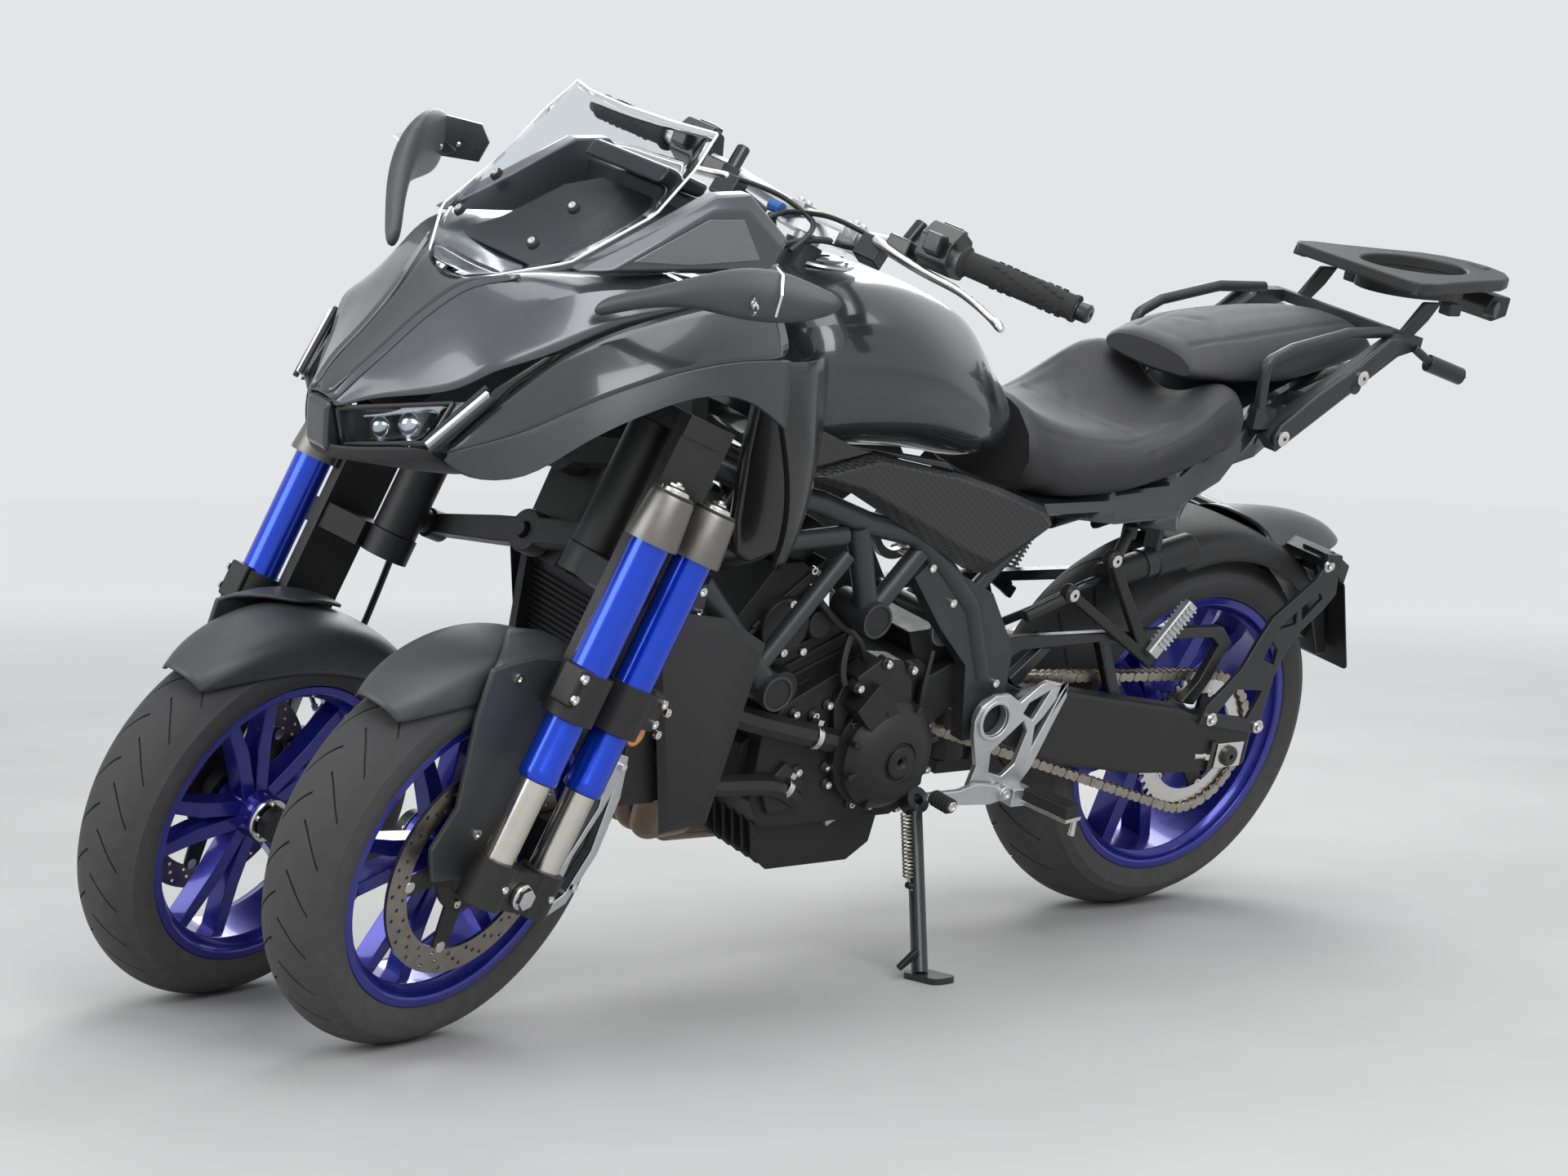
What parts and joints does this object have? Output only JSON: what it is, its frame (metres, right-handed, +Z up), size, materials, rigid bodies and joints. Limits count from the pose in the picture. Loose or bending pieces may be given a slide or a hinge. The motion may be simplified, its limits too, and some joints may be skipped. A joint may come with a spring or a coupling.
{
  "type": "motorized trike",
  "caption": "Leaning motorcycle with a pair of steered front wheels on a parallelogram linkage, parked on its side stand, with a luggage rack plate.",
  "frame": {"origin": "on the ground under the middle of the parked machine", "axes": "+X forward, +Y to the rider's left, +Z up"},
  "size_m": [2.4304, 1.0187, 1.2615],
  "materials": {
    "tyre": "matt rubber",
    "blue_metal": "gloss metallic blue",
    "steel": "brushed",
    "exhaust_steel": "heat tinted",
    "alloy": "satin",
    "black_metal": "satin black",
    "black_alloy": "cast, satin black",
    "graphite": "metallic graphite paint",
    "tank_paint": "gloss dark grey",
    "matt_grey": "grained",
    "black_plastic": "grained",
    "vinyl": "matt seat cover",
    "rubber": "ribbed",
    "clear": "clear plastic",
    "lens": "clear lens"
  },
  "bodies": {
    "chassis": {"frame": "black_metal", "lean_head": "black_metal", "engine": "black_alloy", "exhaust": "exhaust_steel", "radiator": "black_alloy", "radiator_shrouds": "matt_grey", "swingarm": "black_alloy", "rear_shock": "black_alloy", "drive_chain": "steel", "rear_mudguard": "matt_grey", "number_plate": "black_plastic", "tail_cowl": "graphite", "rider_seat": "vinyl", "passenger_seat": "vinyl", "subframe": "black_alloy", "luggage_rack": "black_metal", "rear_lights": "black_plastic", "fuel_tank": "tank_paint", "tank_side_covers": "matt_grey", "side_fairings": "matt_grey", "nose_fairing": "graphite", "headlights": "lens", "windscreen": "clear", "screen_surround": "matt_grey", "mirrors": "black_plastic", "rider_peg_brackets": "alloy", "rider_pegs": "rubber", "passenger_brackets": "black_metal"},
    "rear_wheel": {"rear_tyre": "tyre", "rear_wheel": "blue_metal", "rear_sprocket": "steel", "rear_disc": "steel"},
    "handlebar": {"handlebar": "alloy", "handlebar_controls": "black_plastic"},
    "side_stand": {"side_stand": "black_metal"},
    "lower_arm": {"lower_arm": "black_metal"},
    "upper_arm": {"upper_arm": "black_metal"},
    "left_knuckle": {"left_knuckle": "black_metal"},
    "left_fork": {"left_fork_tubes": "blue_metal", "left_fork_sliders": "alloy", "left_fork_bracket": "black_alloy", "left_axle_bracket": "black_alloy", "left_fender": "matt_grey"},
    "left_front_wheel": {"left_front_tyre": "tyre", "left_front_wheel": "blue_metal", "left_brake_disc": "steel"},
    "left_passenger_peg": {"left_passenger_peg": "alloy"},
    "right_knuckle": {"right_knuckle": "black_metal"},
    "right_fork": {"right_fork_tubes": "blue_metal", "right_fork_sliders": "alloy", "right_fork_bracket": "black_alloy", "right_axle_bracket": "black_alloy", "right_fender": "matt_grey"},
    "right_front_wheel": {"right_front_tyre": "tyre", "right_front_wheel": "blue_metal", "right_brake_disc": "steel"},
    "right_passenger_peg": {"right_passenger_peg": "alloy"}
  },
  "joints": [
    {"name": "rear_wheel_spin", "type": "hinge", "parent": "chassis", "child": "rear_wheel", "pos_m": [-0.5832, -0.13025, 0.31203], "axis": [0, 0.9641, -0.2656], "continuous": true},
    {"name": "steering", "type": "hinge", "parent": "chassis", "child": "handlebar", "pos_m": [0.3168, 0.0729, 1.04956], "axis": [-0.342, 0.2495, 0.906], "range_deg": [-45.5, 18.5]},
    {"name": "lean", "type": "hinge", "parent": "chassis", "child": "upper_arm", "pos_m": [0.66779, -0.00603, 0.76298], "axis": [0.9397, 0.0908, 0.3297], "range_deg": [-63.1, 30.5]},
    {"name": "lower_arm_lean", "type": "hinge", "parent": "chassis", "child": "lower_arm", "pos_m": [0.70883, -0.03598, 0.65427], "axis": [0.9397, 0.0908, 0.3297], "range_deg": [-63.1, 30.5]},
    {"name": "side_stand_fold", "type": "hinge", "parent": "chassis", "child": "side_stand", "pos_m": [0.0388, 0.00534, 0.23942], "axis": [-0.0006, 0.9262, 0.377], "range_deg": [0, 99]},
    {"name": "left_knuckle_lean", "type": "hinge", "parent": "upper_arm", "child": "left_knuckle", "pos_m": [0.64807, 0.19802, 0.76298], "axis": [0.9397, 0.0908, 0.3297], "range_deg": [-30.5, 63.1]},
    {"name": "left_fork_turn", "type": "hinge", "parent": "left_knuckle", "child": "left_fork", "pos_m": [0.73884, 0.1644, 0.64094], "axis": [-0.342, 0.2495, 0.906], "range_deg": [-45.5, 18.5]},
    {"name": "left_front_wheel_spin", "type": "hinge", "parent": "left_fork", "child": "left_front_wheel", "pos_m": [0.90645, 0.06597, 0.26221], "axis": [-0.2194, 0.9163, -0.3352], "continuous": true},
    {"name": "left_passenger_peg_fold", "type": "hinge", "parent": "chassis", "child": "left_passenger_peg", "pos_m": [-0.3692, 0.08005, 0.44288], "axis": [-0.8412, -0.1436, -0.5213], "range_deg": [0, 90]},
    {"name": "right_knuckle_lean", "type": "hinge", "parent": "upper_arm", "child": "right_knuckle", "pos_m": [0.68751, -0.21008, 0.76298], "axis": [0.9397, 0.0908, 0.3297], "range_deg": [-30.5, 63.1]},
    {"name": "right_fork_turn", "type": "hinge", "parent": "right_knuckle", "child": "right_fork", "pos_m": [0.77828, -0.2437, 0.64094], "axis": [-0.342, 0.2495, 0.906], "range_deg": [-45.5, 18.5]},
    {"name": "right_front_wheel_spin", "type": "hinge", "parent": "right_fork", "child": "right_front_wheel", "pos_m": [0.94589, -0.34212, 0.26221], "axis": [-0.2194, 0.9163, -0.3352], "continuous": true},
    {"name": "right_passenger_peg_fold", "type": "hinge", "parent": "chassis", "child": "right_passenger_peg", "pos_m": [-0.3692, -0.24388, 0.53211], "axis": [0.8412, 0.1436, 0.5213], "range_deg": [0, 90]}
  ],
  "couplings": [
    {"joint": "lower_arm_lean", "follows": "lean", "ratio": 1},
    {"joint": "left_knuckle_lean", "follows": "lean", "ratio": -1},
    {"joint": "left_fork_turn", "follows": "steering", "ratio": 1},
    {"joint": "right_knuckle_lean", "follows": "lean", "ratio": -1},
    {"joint": "right_fork_turn", "follows": "steering", "ratio": 1}
  ]
}
